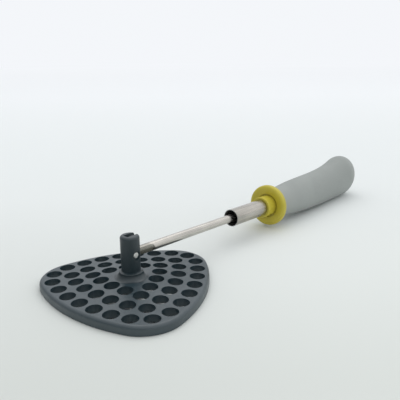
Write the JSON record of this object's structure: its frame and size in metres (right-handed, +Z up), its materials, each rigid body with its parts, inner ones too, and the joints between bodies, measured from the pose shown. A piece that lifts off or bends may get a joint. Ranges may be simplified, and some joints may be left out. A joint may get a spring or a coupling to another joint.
{
  "type": "folding potato masher",
  "caption": "Folding potato masher: a rounded triangular plate of round holes hinged to a rod, with a sliding locking tube, a flanged collar and a bent grip.",
  "frame": {"origin": "middle of the post's flat foot, level with the plate's lower edge", "axes": "+Z up out of the plate along the post, +X along the folded rod towards the grip, the hinge pin along Y"},
  "size_m": [0.3246, 0.1042, 0.0369],
  "materials": {
    "head_plastic": "satin",
    "steel": "satin",
    "green_plastic": "satin",
    "grip_plastic": "matt",
    "core_plastic": "matt",
    "seal_rubber": "matt"
  },
  "bodies": {
    "head": {"mashing_plate": "head_plastic", "hinge_post": "head_plastic", "hinge_pin": "steel"},
    "handle": {"inner_rod": "steel", "guide_bush": "green_plastic", "friction_ring": "seal_rubber", "collar_flange": "green_plastic", "handle_core": "core_plastic", "rod_anchor": "steel", "anchor_pin": "steel", "grip_shell": "grip_plastic"},
    "tube": {"locking_tube": "steel", "tail_runner": "core_plastic"}
  },
  "joints": [
    {"name": "head_fold", "type": "hinge", "parent": "head", "child": "handle", "pos_m": [0, 0, 0.0228], "axis": [0, -1, 0], "range_deg": [0, 92.01]},
    {"name": "tube_slide", "type": "slide", "parent": "handle", "child": "tube", "axis": [-0.9994, 0, 0.035], "range_m": [0, 0.09]}
  ]
}
